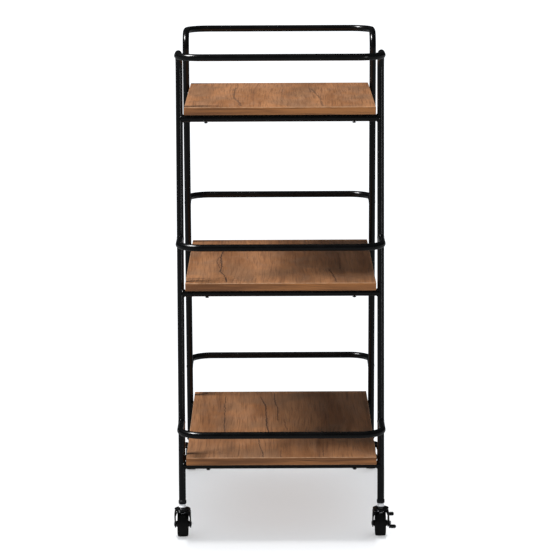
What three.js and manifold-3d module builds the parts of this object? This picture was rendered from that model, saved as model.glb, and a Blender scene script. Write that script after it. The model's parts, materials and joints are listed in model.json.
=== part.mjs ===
// Three-tier bar cart on casters: two leaning end frames of bent tube, joined under
// each board by a pair of side stretchers. Millimetres, +Z up. The origin is on the
// floor at the centre of the cart. X runs across the cart, Y along it, front at -Y.
import * as THREE from 'three';
import { mergeVertices } from 'three/addons/utils/BufferGeometryUtils.js';
import Module from 'manifold-3d';

const wasm = await Module();
wasm.setup();

// Tube and frame
const TUBE_RADIUS = 6.6;             // half-inch tube under its coat
const TUBE_WALL = 1.2;
const POST_X = 190;                  // post centreline, left and right of the middle
const POST_HALF_SPACING = 232.4;     // front post to cart centre, at the middle board
const POST_LEAN = 0.0747;            // how far a post moves in for each mm that it rises
const RAIL_REACH = 112.7;            // rail centreline beyond the posts
const RAIL_CORNER_RADIUS = 45;
const POST_TOP_BEND_RADIUS = 32;
const POST_FOOT_BEND_RADIUS = 300;
const FOOT_BEND_Z = 110;             // below this the posts stand upright
const POST_END_Z = 75.8;
const STRETCHER_X = 171;
const GAP = 0.3;                     // between pieces that touch

// Facets
const TUBE_SIDES = 12;
const TUBE_BORE_SIDES = 8;
const BEND_STEP = Math.PI / 7;       // largest turn of a bend in one facet
const CUTTER_SIDES = 14;
const TURNED_SIDES = 10;
const SMALL_SIDES = 8;
const SCREW_HOLE_SIDES = 6;
const CROWN_SIDES = 12;
const HUB_SIDES = 16;

// Boards, from the bottom up
const TIERS = ['bottom', 'middle', 'top'];
const BOARD_TOP_Z = 165;
const BOARD_PITCH_Z = 330.6;
const BOARD_WIDTH = 362;
const BOARD_THICKNESS = 15;
const BOARD_LENGTH = 576;            // of the bottom board
const BOARD_LENGTH_STEP = 71.4;      // each board is this much shorter than the one below
const BOARD_EDGE_BREAK = 0.8;
const RAIL_Z = 227.1;
const RAIL_PITCH_Z = 351;
const MIDDLE_BOARD_Z = BOARD_TOP_Z + BOARD_PITCH_Z;

// Shelf screws, driven up through the cross tubes
const SCREW_X = 140;
const SCREW_SHANK_RADIUS = 1.9;
const SCREW_HEAD_RADIUS = 3.9;
const SCREW_HEAD_HEIGHT = 3;
const SCREW_HEAD_FLAT_RADIUS = 2.3;
const SCREW_HEAD_RIM_HEIGHT = 1.35;
const SCREW_POINT_LENGTH = 3;
const SCREW_BITE = 11;
const SCREW_HOLE_RADIUS = 2.4;

// Caster, measured from the floor and from its stem axis
const WHEEL_RADIUS = 25;
const WHEEL_WIDTH = 20.4;
const WHEEL_SIDES = 20;
const HUB_RADIUS = 19.5;
const HUB_RIM_WIDTH = 17;
const HUB_WEB_WIDTH = 9;
const HUB_BOSS_RADIUS = 6.5;
const HUB_BOSS_WIDTH = 26.5;
const TREAD_BREAK = 3;
const AXLE_Z = WHEEL_RADIUS * Math.cos(Math.PI / WHEEL_SIDES);   // a flat of the tread is down
const CASTER_TRAIL = 14;
const AXLE_RADIUS = 3;
const AXLE_BORE_RADIUS = 3.4;
const AXLE_HEAD_RADIUS = 4.4;
const AXLE_HEAD_THICKNESS = 1.4;
const AXLE_HEAD_CHAMFER = 0.8;
const BRAKE_NUT_THICKNESS = 2.6;
const FORK_INSIDE = 13.65;           // half the gap between the arms
const FORK_SHEET = 2;
const FORK_OUTSIDE = FORK_INSIDE + FORK_SHEET;
const FORK_BOSS_RADIUS = 7.5;
const FORK_BOSS_START = Math.PI * 1.1;
const FORK_BOSS_SEGMENTS = 4;
const FORK_FRONT_Y = -13;
const FORK_REAR_Y = 15;
const FORK_FRONT_SHOULDER_Z = 48;    // where the arm's front and rear edges start to taper
const FORK_REAR_SHOULDER_Z = 46;
const FORK_PLATE_Z = 52.5;
const FORK_CROWN_Z = 56.5;
const CROWN_WALL_RADIUS = 14.3;
const CROWN_RIM_RADIUS = 15.3;
const CROWN_RIM_Z = 58.6;
const CROWN_RIM_HEIGHT = 1.9;
const CROWN_DOME_RADIUS = 8.6;
const FORK_TOP_Z = 62.2;
const STEM_BORE_RADIUS = 4.5;
const STEM_PIN_RADIUS = 4.1;
const STEM_NECK_RADIUS = 5.6;
const STEM_RIVET_RADIUS = 6.3;
const STEM_RIVET_HEIGHT = 3.5;
const STEM_UPPER_RADIUS = 3.3;
const STEM_TOP_Z = 100;
const SLEEVE_Z = 68.5;
const SLEEVE_COLLAR_RADIUS = 7.4;
const SLEEVE_COLLAR_BREAK = 1;
const SLEEVE_PLUG_RADIUS = 4.7;
const SLEEVE_BORE_RADIUS = 3.8;
const SLEEVE_TOP_Z = 98;

// Brake lever, a rocker on the axle
const LEVER_THICKNESS = 1.8;
const LEVER_INSIDE = FORK_OUTSIDE + 0.35;
const LEVER_HUB_RADIUS = 6.5;
const LEVER_ROOT_HALF_WIDTH = 5;
const LEVER_TIP_HALF_WIDTH = 4;
const PEDALS = [
  { y: 13, z: 14.5, reach: 26.5 },
  { y: -15, z: -2.8, reach: 29.6 },
];
const PEDAL_LENGTH = 8;
const PEDAL_THICKNESS = 6;

const boardTop = (tier) => BOARD_TOP_Z + tier * BOARD_PITCH_Z;
const boardLength = (tier) => BOARD_LENGTH - tier * BOARD_LENGTH_STEP;
const railZ = (tier) => RAIL_Z + tier * RAIL_PITCH_Z;
const crossTubeZ = (tier) => boardTop(tier) - BOARD_THICKNESS - GAP - TUBE_RADIUS;
const postY = (z) => POST_HALF_SPACING - POST_LEAN * (z - MIDDLE_BOARD_Z);
const STEM_Y = postY(FOOT_BEND_Z);

const material = (color, roughness, metalness) =>
  new THREE.MeshStandardMaterial({ color, roughness, metalness });
const BLACK_TUBE = material('#141416', 0.35, 0.6);
const WALNUT = material('#8a5f42', 0.6, 0);
const BLACK_SCREW = material('#1a1a1c', 0.45, 0.7);
const BRIGHT_STEEL = material('#d8d8da', 0.2, 1);
const DARK_STEEL = material('#3a3a3d', 0.4, 0.9);
const BLACK_PLASTIC = material('#101012', 0.5, 0);
const BLACK_RUBBER = material('#0c0c0d', 0.75, 0);

// ---------- solids ----------

// A closed geometry as a manifold-3d solid that faces outwards.
function solid(geometry) {
  const bare = geometry.clone();
  bare.deleteAttribute('normal');
  bare.deleteAttribute('uv');
  const merged = mergeVertices(bare, 1e-4);
  const vertProperties = new Float32Array(merged.attributes.position.array);
  const triVerts = new Uint32Array(merged.index.array);
  const build = () => new wasm.Manifold(new wasm.Mesh({ numProp: 3, vertProperties, triVerts }));
  const made = build();
  if (made.volume() > 0) return made;
  for (let i = 0; i < triVerts.length; i += 3) {
    [triVerts[i + 1], triVerts[i + 2]] = [triVerts[i + 2], triVerts[i + 1]];
  }
  return build();
}

// A solid back as a geometry for a mesh.
function geometryOf(made) {
  const mesh = made.getMesh();
  const geometry = new THREE.BufferGeometry();
  geometry.setAttribute('position', new THREE.BufferAttribute(mesh.vertProperties, 3));
  geometry.setIndex(new THREE.BufferAttribute(mesh.triVerts, 1));
  const flat = geometry.toNonIndexed();
  flat.computeVertexNormals();
  return flat;
}

function circle(radius, sides) {
  const points = [];
  for (let i = 0; i < sides; i += 1) {
    const angle = (2 * Math.PI * (i + 0.5)) / sides;
    points.push(new THREE.Vector2(radius * Math.cos(angle), radius * Math.sin(angle)));
  }
  return points;
}

// The centreline of a bent tube: straight runs between corners, each corner an arc.
class BentTubePath extends THREE.Curve {
  constructor(corners, radii, bendStep) {
    super();
    this.stations = [{ point: corners[0], tangent: direction(corners[0], corners[1]) }];
    for (let i = 1; i < corners.length - 1; i += 1) {
      const before = direction(corners[i - 1], corners[i]);
      const after = direction(corners[i], corners[i + 1]);
      const turn = before.angleTo(after);
      const setback = radii[i - 1] * Math.tan(turn / 2);
      const start = corners[i].clone().addScaledVector(before, -setback);
      const axis = before.clone().cross(after).normalize();
      const inward = axis.clone().cross(before);
      const centre = start.clone().addScaledVector(inward, radii[i - 1]);
      const steps = Math.ceil(turn / bendStep);
      for (let k = 0; k <= steps; k += 1) {
        const angle = (turn * k) / steps;
        const spoke = inward.clone().multiplyScalar(-radii[i - 1]).applyAxisAngle(axis, angle);
        this.stations.push({
          point: centre.clone().add(spoke),
          tangent: before.clone().applyAxisAngle(axis, angle),
        });
      }
    }
    const last = corners.length - 1;
    this.stations.push({ point: corners[last], tangent: direction(corners[last - 1], corners[last]) });
  }

  getSpacedPoints() {
    return this.stations.map((station) => station.point.clone());
  }

  getTangentAt(u) {
    return this.stations[Math.round(u * (this.stations.length - 1))].tangent.clone();
  }
}

function direction(from, to) {
  return to.clone().sub(from).normalize();
}

// A hollow tube along corner points, with the bend radius of each inner corner.
function bentTube(corners, radii) {
  const path = new BentTubePath(corners, radii, BEND_STEP);
  const section = new THREE.Shape(circle(TUBE_RADIUS, TUBE_SIDES));
  section.holes.push(new THREE.Path(circle(TUBE_RADIUS - TUBE_WALL, TUBE_BORE_SIDES).reverse()));
  const steps = path.stations.length - 1;
  return solid(new THREE.ExtrudeGeometry(section, { steps, extrudePath: path }));
}

// A round bar from one point to another.
function bar(from, to, radius, sides) {
  const length = from.distanceTo(to);
  const geometry = new THREE.CylinderGeometry(radius, radius, length, sides);
  geometry.translate(0, length / 2, 0);
  const turn = new THREE.Quaternion().setFromUnitVectors(new THREE.Vector3(0, 1, 0), direction(from, to));
  geometry.applyQuaternion(turn);
  geometry.translate(from.x, from.y, from.z);
  return solid(geometry);
}

// A profile of [radius, height] pairs turned about the Z axis.
function turned(profile, sides) {
  const points = profile.map(([radius, height]) => new THREE.Vector2(radius, height));
  const geometry = new THREE.LatheGeometry(points, sides);
  geometry.rotateX(Math.PI / 2);
  return solid(geometry);
}

// A shape drawn in the Y-Z plane, given thickness from x to x + thickness.
function plate(shape, x, thickness, curveSegments) {
  const options = { depth: thickness, bevelEnabled: false, curveSegments };
  const geometry = new THREE.ExtrudeGeometry(shape, options);
  geometry.rotateY(Math.PI / 2);
  geometry.rotateX(Math.PI / 2);
  geometry.translate(x, 0, 0);
  return solid(geometry);
}

function block(width, length, height, x, y, z) {
  return solid(new THREE.BoxGeometry(width, length, height).translate(x, y, z));
}

const at = (x, y, z) => new THREE.Vector3(x, y, z);

// ---------- end frame, drawn as the front one ----------

// The straight stretch of a front post, a little fat, to cut the ends of what meets it.
function postCutter(x) {
  const low = crossTubeZ(0) - 2 * TUBE_RADIUS;
  const high = crossTubeZ(2) + 2 * TUBE_RADIUS;
  const from = at(x, -postY(low), low);
  return bar(from, at(x, -postY(high), high), TUBE_RADIUS + GAP, CUTTER_SIDES);
}

function endHoop() {
  const top = railZ(2);
  const reach = -postY(top) - RAIL_REACH;
  const half = [at(POST_X, -STEM_Y, POST_END_Z), at(POST_X, -STEM_Y, FOOT_BEND_Z)];
  half.push(at(POST_X, -postY(top), top), at(POST_X, reach, top));
  const other = half.map((point) => at(-point.x, point.y, point.z)).reverse();
  const bends = [POST_FOOT_BEND_RADIUS, POST_TOP_BEND_RADIUS, RAIL_CORNER_RADIUS];
  return bentTube([...half, ...other], [...bends, ...bends.slice().reverse()]);
}

function endRail(tier) {
  const z = railZ(tier);
  const reach = -postY(z) - RAIL_REACH;
  const corners = [at(POST_X, -postY(z), z), at(POST_X, reach, z)];
  corners.push(at(-POST_X, reach, z), at(-POST_X, -postY(z), z));
  const rail = bentTube(corners, [RAIL_CORNER_RADIUS, RAIL_CORNER_RADIUS]);
  return rail.subtract(postCutter(POST_X)).subtract(postCutter(-POST_X));
}

function crossTube(tier) {
  const z = crossTubeZ(tier);
  let tube = bentTube([at(-POST_X, -postY(z), z), at(POST_X, -postY(z), z)], []);
  for (const side of [-1, 1]) {
    tube = tube.subtract(postCutter(side * POST_X));
    const low = at(side * SCREW_X, -postY(z), z - 2 * TUBE_RADIUS);
    const high = at(side * SCREW_X, -postY(z), z + 2 * TUBE_RADIUS);
    tube = tube.subtract(bar(low, high, SCREW_HOLE_RADIUS, SCREW_HOLE_SIDES));
  }
  return tube;
}

function shelfScrew(tier) {
  const seat = crossTubeZ(tier) - TUBE_RADIUS - GAP;
  const tip = boardTop(tier) - BOARD_THICKNESS + SCREW_BITE;
  const profile = [
    [0, seat - SCREW_HEAD_HEIGHT],
    [SCREW_HEAD_FLAT_RADIUS, seat - SCREW_HEAD_HEIGHT],
    [SCREW_HEAD_RADIUS, seat - SCREW_HEAD_RIM_HEIGHT],
    [SCREW_HEAD_RADIUS, seat],
    [SCREW_SHANK_RADIUS, seat],
    [SCREW_SHANK_RADIUS, tip - SCREW_POINT_LENGTH],
    [0, tip],
  ];
  return turned(profile, SMALL_SIDES);
}

// ---------- between the end frames ----------

function stretcher(tier) {
  const z = crossTubeZ(tier);
  const y = postY(z);
  let tube = bentTube([at(0, -y, z), at(0, y, z)], []);
  for (const end of [-y, y]) {
    const half = 3 * TUBE_RADIUS;
    tube = tube.subtract(bar(at(-half, end, z), at(half, end, z), TUBE_RADIUS + GAP, CUTTER_SIDES));
  }
  return tube;
}

function board(tier) {
  const halfWidth = BOARD_WIDTH / 2 - BOARD_EDGE_BREAK;
  const halfLength = boardLength(tier) / 2 - BOARD_EDGE_BREAK;
  const outline = new THREE.Shape([
    new THREE.Vector2(-halfWidth, -halfLength),
    new THREE.Vector2(halfWidth, -halfLength),
    new THREE.Vector2(halfWidth, halfLength),
    new THREE.Vector2(-halfWidth, halfLength),
  ]);
  const geometry = new THREE.ExtrudeGeometry(outline, {
    depth: BOARD_THICKNESS - 2 * BOARD_EDGE_BREAK,
    bevelSize: BOARD_EDGE_BREAK,
    bevelThickness: BOARD_EDGE_BREAK,
    bevelSegments: 1,
  });
  geometry.translate(0, 0, boardTop(tier) - BOARD_THICKNESS + BOARD_EDGE_BREAK);
  let made = solid(geometry);
  const under = boardTop(tier) - BOARD_THICKNESS;
  const screwY = postY(crossTubeZ(tier));
  for (const x of [-SCREW_X, SCREW_X]) {
    for (const y of [-screwY, screwY]) {
      const mouth = at(x, y, under - TUBE_RADIUS);
      const end = at(x, y, under + SCREW_BITE + 1);
      made = made.subtract(bar(mouth, end, SCREW_HOLE_RADIUS, SMALL_SIDES));
    }
  }
  return made;
}

// ---------- caster, with its stem on the Z axis and its wheel towards +Y ----------

function footSleeve() {
  const profile = [
    [SLEEVE_BORE_RADIUS, SLEEVE_Z],
    [SLEEVE_COLLAR_RADIUS - SLEEVE_COLLAR_BREAK, SLEEVE_Z],
    [SLEEVE_COLLAR_RADIUS, SLEEVE_Z + 2 * SLEEVE_COLLAR_BREAK],
    [SLEEVE_COLLAR_RADIUS, POST_END_Z - GAP - SLEEVE_COLLAR_BREAK],
    [SLEEVE_COLLAR_RADIUS - SLEEVE_COLLAR_BREAK, POST_END_Z - GAP],
    [SLEEVE_PLUG_RADIUS, POST_END_Z - GAP],
    [SLEEVE_PLUG_RADIUS, SLEEVE_TOP_Z],
    [SLEEVE_BORE_RADIUS, SLEEVE_TOP_Z],
    [SLEEVE_BORE_RADIUS, SLEEVE_Z],
  ];
  return turned(profile, TURNED_SIDES);
}

function casterStem() {
  const rivetTop = FORK_PLATE_Z - GAP;
  const neckLow = FORK_TOP_Z + GAP;
  const neckHigh = SLEEVE_Z - GAP;
  const profile = [
    [0, rivetTop - STEM_RIVET_HEIGHT],
    [STEM_RIVET_RADIUS, rivetTop - STEM_RIVET_HEIGHT / 2],
    [STEM_RIVET_RADIUS, rivetTop],
    [STEM_PIN_RADIUS, rivetTop],
    [STEM_PIN_RADIUS, neckLow],
    [STEM_NECK_RADIUS, neckLow],
    [STEM_NECK_RADIUS, neckHigh],
    [STEM_UPPER_RADIUS, neckHigh],
    [STEM_UPPER_RADIUS, STEM_TOP_Z],
    [0, STEM_TOP_Z],
  ];
  return turned(profile, TURNED_SIDES);
}

function forkArm(x) {
  const outline = new THREE.Shape();
  outline.moveTo(FORK_FRONT_Y, FORK_CROWN_Z);
  outline.lineTo(FORK_FRONT_Y, FORK_FRONT_SHOULDER_Z);
  outline.absarc(CASTER_TRAIL, AXLE_Z, FORK_BOSS_RADIUS, FORK_BOSS_START, 2 * Math.PI, false);
  outline.lineTo(FORK_REAR_Y, FORK_REAR_SHOULDER_Z);
  outline.lineTo(FORK_REAR_Y, FORK_CROWN_Z);
  outline.closePath();
  return plate(outline, x, FORK_SHEET, FORK_BOSS_SEGMENTS);
}

function casterFork() {
  let fork = forkArm(-FORK_OUTSIDE).add(forkArm(FORK_INSIDE));
  const length = FORK_REAR_Y - FORK_FRONT_Y;
  const height = FORK_CROWN_Z - FORK_PLATE_Z;
  const middleY = (FORK_REAR_Y + FORK_FRONT_Y) / 2;
  fork = fork.add(block(2 * FORK_OUTSIDE, length, height, 0, middleY, FORK_PLATE_Z + height / 2));
  const crown = [
    [0, FORK_PLATE_Z],
    [CROWN_WALL_RADIUS, FORK_PLATE_Z + 1],
    [CROWN_WALL_RADIUS, CROWN_RIM_Z - GAP],
    [CROWN_RIM_RADIUS, CROWN_RIM_Z],
    [CROWN_RIM_RADIUS, CROWN_RIM_Z + CROWN_RIM_HEIGHT],
    [CROWN_DOME_RADIUS, FORK_TOP_Z],
    [0, FORK_TOP_Z],
  ];
  fork = fork.add(turned(crown, CROWN_SIDES));
  const bore = bar(at(0, 0, FORK_PLATE_Z - 1), at(0, 0, FORK_TOP_Z + 1), STEM_BORE_RADIUS, TURNED_SIDES);
  const reach = FORK_OUTSIDE + 1;
  const left = at(-reach, CASTER_TRAIL, AXLE_Z);
  const axle = bar(left, at(reach, CASTER_TRAIL, AXLE_Z), AXLE_BORE_RADIUS, SMALL_SIDES);
  return fork.subtract(bore).subtract(axle);
}

// Parts on the wheel's own axis: turned about Z, then laid along X.
function onAxle(profile, sides) {
  const turn = Math.PI / sides;
  return turned(profile, sides).rotate([0, 0, (turn * 180) / Math.PI]).rotate([0, 90, 0]);
}

function wheelHub() {
  const profile = [
    [AXLE_BORE_RADIUS, -HUB_BOSS_WIDTH / 2],
    [HUB_BOSS_RADIUS, -HUB_BOSS_WIDTH / 2],
    [HUB_BOSS_RADIUS, -HUB_WEB_WIDTH / 2],
    [HUB_RADIUS, -HUB_RIM_WIDTH / 2],
    [HUB_RADIUS, HUB_RIM_WIDTH / 2],
    [HUB_BOSS_RADIUS, HUB_WEB_WIDTH / 2],
    [HUB_BOSS_RADIUS, HUB_BOSS_WIDTH / 2],
    [AXLE_BORE_RADIUS, HUB_BOSS_WIDTH / 2],
    [AXLE_BORE_RADIUS, -HUB_BOSS_WIDTH / 2],
  ];
  return onAxle(profile, HUB_SIDES);
}

function wheelTyre() {
  const half = WHEEL_WIDTH / 2;
  const inside = HUB_RADIUS + GAP;
  const profile = [
    [inside, -half],
    [WHEEL_RADIUS - TREAD_BREAK, -half],
    [WHEEL_RADIUS, -half + TREAD_BREAK],
    [WHEEL_RADIUS, half - TREAD_BREAK],
    [WHEEL_RADIUS - TREAD_BREAK, half],
    [inside, half],
    [inside, -half],
  ];
  return onAxle(profile, WHEEL_SIDES);
}

// The axle bolt, its head on the -X side and its nut past whatever sits outside the fork.
function axleBolt(nutInside, nutThickness) {
  const head = FORK_OUTSIDE + GAP;
  const profile = [
    [0, -head - AXLE_HEAD_THICKNESS],
    [AXLE_HEAD_RADIUS, -head - AXLE_HEAD_THICKNESS + AXLE_HEAD_CHAMFER],
    [AXLE_HEAD_RADIUS, -head],
    [AXLE_RADIUS, -head],
    [AXLE_RADIUS, nutInside],
    [AXLE_HEAD_RADIUS, nutInside],
    [AXLE_HEAD_RADIUS, nutInside + nutThickness],
    [0, nutInside + nutThickness],
  ];
  return onAxle(profile, SMALL_SIDES);
}

function brakeLever() {
  const hub = new THREE.Shape().absarc(0, 0, LEVER_HUB_RADIUS, 0, 2 * Math.PI, false);
  let lever = plate(hub, LEVER_INSIDE, LEVER_THICKNESS, TURNED_SIDES);
  for (const { y, z, reach } of PEDALS) {
    const across = new THREE.Vector2(-z, y).normalize();
    const limb = new THREE.Shape([
      across.clone().multiplyScalar(LEVER_ROOT_HALF_WIDTH),
      across.clone().multiplyScalar(-LEVER_ROOT_HALF_WIDTH),
      new THREE.Vector2(y, z).addScaledVector(across, -LEVER_TIP_HALF_WIDTH),
      new THREE.Vector2(y, z).addScaledVector(across, LEVER_TIP_HALF_WIDTH),
    ]);
    lever = lever.add(plate(limb, LEVER_INSIDE, LEVER_THICKNESS, 1));
    const width = reach - LEVER_INSIDE;
    const pedal = block(width, PEDAL_LENGTH, PEDAL_THICKNESS, LEVER_INSIDE + width / 2, y, z);
    lever = lever.add(pedal);
  }
  const through = LEVER_INSIDE + 2 * LEVER_THICKNESS;
  return lever.subtract(bar(at(FORK_OUTSIDE, 0, 0), at(through, 0, 0), AXLE_BORE_RADIUS, SMALL_SIDES));
}

// ---------- assembly ----------

const cart = new THREE.Group();

function add(parent, name, made, finish, x = 0, y = 0, z = 0) {
  const mesh = new THREE.Mesh(geometryOf(made), finish);
  mesh.name = name;
  mesh.position.set(x, y, z);
  parent.add(mesh);
}

// Every caster trails to the rear of the cart. A brake lever is on its caster's +X side.
function addCaster(corner, x, y, braked) {
  const caster = new THREE.Group();
  caster.position.set(x, y, 0);
  cart.add(caster);
  const nutInside = braked ? LEVER_INSIDE + LEVER_THICKNESS + GAP : FORK_OUTSIDE + GAP;
  const bolt = axleBolt(nutInside, braked ? BRAKE_NUT_THICKNESS : AXLE_HEAD_THICKNESS);
  add(caster, `${corner}_foot_sleeve`, footSleeve(), BLACK_PLASTIC);
  add(caster, `${corner}_caster_stem`, casterStem(), BRIGHT_STEEL);
  add(caster, `${corner}_caster_fork`, casterFork(), BLACK_TUBE);
  add(caster, `${corner}_wheel_hub`, wheelHub(), BLACK_PLASTIC, 0, CASTER_TRAIL, AXLE_Z);
  add(caster, `${corner}_wheel_tyre`, wheelTyre(), BLACK_RUBBER, 0, CASTER_TRAIL, AXLE_Z);
  add(caster, `${corner}_axle_bolt`, bolt, DARK_STEEL, 0, CASTER_TRAIL, AXLE_Z);
  if (braked) {
    add(caster, `${corner}_brake_lever`, brakeLever(), BLACK_PLASTIC, 0, CASTER_TRAIL, AXLE_Z);
  }
}

// Each end frame is drawn as the front one; the rear one is the same turned half round,
// which swaps left and right.
function addEnd(end, turn) {
  const frame = new THREE.Group();
  frame.rotation.z = turn;
  cart.add(frame);
  const sideName = (side) => ((side > 0) === (turn === 0) ? 'right' : 'left');
  add(frame, `${end}_end_hoop`, endHoop(), BLACK_TUBE);
  add(frame, `${end}_middle_rail`, endRail(1), BLACK_TUBE);
  add(frame, `${end}_bottom_rail`, endRail(0), BLACK_TUBE);
  TIERS.forEach((tierName, tier) => {
    add(frame, `${tierName}_${end}_cross_tube`, crossTube(tier), BLACK_TUBE);
    for (const side of [-1, 1]) {
      const name = `${tierName}_${end}_${sideName(side)}_screw`;
      add(frame, name, shelfScrew(tier), BLACK_SCREW, side * SCREW_X, -postY(crossTubeZ(tier)));
    }
  });
}

function addShelves() {
  TIERS.forEach((tierName, tier) => {
    add(cart, `${tierName}_left_stretcher`, stretcher(tier), BLACK_TUBE, -STRETCHER_X);
    add(cart, `${tierName}_right_stretcher`, stretcher(tier), BLACK_TUBE, STRETCHER_X);
    add(cart, `${tierName}_shelf_board`, board(tier), WALNUT);
  });
}

addEnd('front', 0);
addEnd('rear', Math.PI);
addShelves();
addCaster('front_left', -POST_X, -STEM_Y, false);
addCaster('front_right', POST_X, -STEM_Y, true);
addCaster('rear_left', -POST_X, STEM_Y, true);
addCaster('rear_right', POST_X, STEM_Y, false);

export default cart;
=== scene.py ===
"""Looks of the three-tier bar cart: a fine mesh and a procedural finish for each part of the
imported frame, a white studio floor, lights and a camera. Metres, +Z up, front end at -Y."""
import json
import math
import random

import bmesh
import bpy
from mathutils import Matrix, Vector, noise


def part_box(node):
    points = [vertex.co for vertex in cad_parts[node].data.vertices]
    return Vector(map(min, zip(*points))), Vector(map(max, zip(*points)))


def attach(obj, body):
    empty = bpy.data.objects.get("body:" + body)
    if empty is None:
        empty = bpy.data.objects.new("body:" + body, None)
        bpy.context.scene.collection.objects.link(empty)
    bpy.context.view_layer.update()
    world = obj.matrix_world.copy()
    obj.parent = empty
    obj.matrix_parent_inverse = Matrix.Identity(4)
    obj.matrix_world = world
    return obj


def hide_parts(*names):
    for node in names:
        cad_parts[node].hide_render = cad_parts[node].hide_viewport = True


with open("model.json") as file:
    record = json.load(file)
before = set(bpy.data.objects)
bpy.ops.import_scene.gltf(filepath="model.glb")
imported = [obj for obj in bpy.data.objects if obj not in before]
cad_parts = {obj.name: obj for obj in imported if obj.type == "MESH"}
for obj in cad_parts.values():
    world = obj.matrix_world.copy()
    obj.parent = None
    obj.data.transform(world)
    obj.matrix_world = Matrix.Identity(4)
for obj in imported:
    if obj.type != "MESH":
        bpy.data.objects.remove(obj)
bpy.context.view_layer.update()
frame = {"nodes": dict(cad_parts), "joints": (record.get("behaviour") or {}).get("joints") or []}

# ---------- driving sizes ----------

MM = 0.001
TUBE_RADIUS = 6.6 * MM
CAD_TUBE_SIDES = 12
CAD_FLAT = TUBE_RADIUS * math.cos(math.pi / CAD_TUBE_SIDES)   # to the flats of the faceted tube
RAIL_CORNER_RADIUS = 45 * MM
POST_TOP_BEND_RADIUS = 32 * MM
POST_FOOT_BEND_RADIUS = 300 * MM
TIERS = ("bottom", "middle", "top")
ENDS = ("front", "rear")
SIDES = ("left", "right")
CORNERS = [f"{end}_{side}" for end in ENDS for side in SIDES]
JOINTS = {joint["name"]: joint for joint in frame["joints"]}


def centre(node):
    low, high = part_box(node)
    return (low + high) / 2


STEM = Vector(JOINTS["front_right_swivel"]["pos_m"])          # foot of the front right post
AXLE = Vector(JOINTS["front_right_wheel_spin"]["pos_m"])
TRAIL = AXLE.y - STEM.y
POST_X = STEM.x
CROSS_Z = [centre(f"{tier}_front_cross_tube").z for tier in TIERS]
CROSS_Y = [centre(f"{tier}_front_cross_tube").y for tier in TIERS]
LEAN = (CROSS_Y[2] - CROSS_Y[0]) / (CROSS_Z[2] - CROSS_Z[0])
RAIL_PITCH = centre("front_middle_rail").z - centre("front_bottom_rail").z
RAIL_Z = [centre("front_bottom_rail").z + tier * RAIL_PITCH for tier in range(3)]


def post_y(z):
    """The front posts' centreline at height z, along its straight stretch."""
    return CROSS_Y[0] + LEAN * (z - CROSS_Z[0])


FOOT_BEND_Z = CROSS_Z[0] + (STEM.y - CROSS_Y[0]) / LEAN
POST_END_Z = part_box("front_end_hoop")[0].z
RAIL_REACH = post_y(RAIL_Z[1]) - (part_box("front_middle_rail")[0].y + CAD_FLAT)


def in_scene(name, data):
    made = bpy.data.objects.new(name, data)
    bpy.context.scene.collection.objects.link(made)
    return made


# ---------- mesh tools: a shell is a list of points and a list of faces ----------

X_AXIS, Y_AXIS = Vector((1, 0, 0)), Vector((0, 1, 0))
ARC_STEP = math.radians(5)
TUBE_SIDES = 32
WELD_SINK = 0.4 * MM         # how far a tube's trimmed end goes into the bar it is welded to
BEAD_RADIUS = 1.45 * MM
BEAD_STEPS = 96
BEAD_SIDES = 10
BEAD_RIPPLES = 26
PROFILE_STEPS = 4            # of each rounded corner in a turned profile
SHARP_ANGLE = math.radians(32)
BEVEL_ANGLE = math.radians(40)


def moved(shell, matrix):
    points, faces = shell
    return [matrix @ point for point in points], faces


def placed(shells, matrix):
    """The (shell, finish) pairs of a piece, all moved alike."""
    return [(moved(shell, matrix), finish) for shell, finish in shells]


def joined(shells):
    points, faces = [], []
    for shell_points, shell_faces in shells:
        first = len(points)
        points += shell_points
        faces += [[first + i for i in face] for face in shell_faces]
    return points, faces


def rings_to_shell(rings, closed=False):
    """Rings of equally many points, skinned. An open stack of rings is capped at both ends."""
    sides = len(rings[0])
    points = [point for ring in rings for point in ring]
    faces = []
    for r in range(len(rings) if closed else len(rings) - 1):
        a, b = r * sides, ((r + 1) % len(rings)) * sides
        for i in range(sides):
            j = (i + 1) % sides
            faces.append([a + i, a + j, b + j, b + i])
    if not closed:
        faces.append(list(range(sides))[::-1])
        faces.append([(len(rings) - 1) * sides + i for i in range(sides)])
    return points, faces


def arc_path(corners, radii):
    """Points along straight runs, with an arc of the given radius at each inner corner."""
    points = [corners[0]]
    for before, corner, after, radius in zip(corners, corners[1:], corners[2:], radii):
        inbound = (corner - before).normalized()
        outbound = (after - corner).normalized()
        turn = inbound.angle(outbound)
        start = corner - inbound * radius * math.tan(turn / 2)
        axis = inbound.cross(outbound).normalized()
        middle = start + axis.cross(inbound) * radius
        steps = max(3, math.ceil(turn / ARC_STEP))
        for i in range(steps + 1):
            points.append(middle + Matrix.Rotation(turn * i / steps, 3, axis) @ (start - middle))
    points.append(corners[-1])
    return points


def circle(middle, u, v, radius, sides):
    angles = [2 * math.pi * i / sides for i in range(sides)]
    return [middle + (u * math.cos(a) + v * math.sin(a)) * radius for a in angles]


def tube_rings(points, radius, sides):
    tangents = [(b - a).normalized() for a, b in zip(points, points[1:])]
    tangents = [tangents[0]] + [(a + b).normalized() for a, b in zip(tangents, tangents[1:])] + [tangents[-1]]
    normal = tangents[0].orthogonal().normalized()
    rings, previous = [], tangents[0]
    for point, tangent in zip(points, tangents):
        normal = previous.rotation_difference(tangent) @ normal
        normal = (normal - tangent * normal.dot(tangent)).normalized()
        side = tangent.cross(normal)
        previous = tangent
        rings.append(circle(point, normal, side, radius, sides))
    return rings


def along_to_post(point, direction, foot, axis, radius):
    """How far point must go along direction to lie on a round bar through foot along axis."""
    offset = (point - foot) - axis * (point - foot).dot(axis)
    slide = direction - axis * direction.dot(axis)
    a = slide.length_squared
    b = 2 * offset.dot(slide)
    c = offset.length_squared - radius * radius
    return (-b - math.sqrt(max(b * b - 4 * a * c, 0))) / (2 * a)


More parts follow.
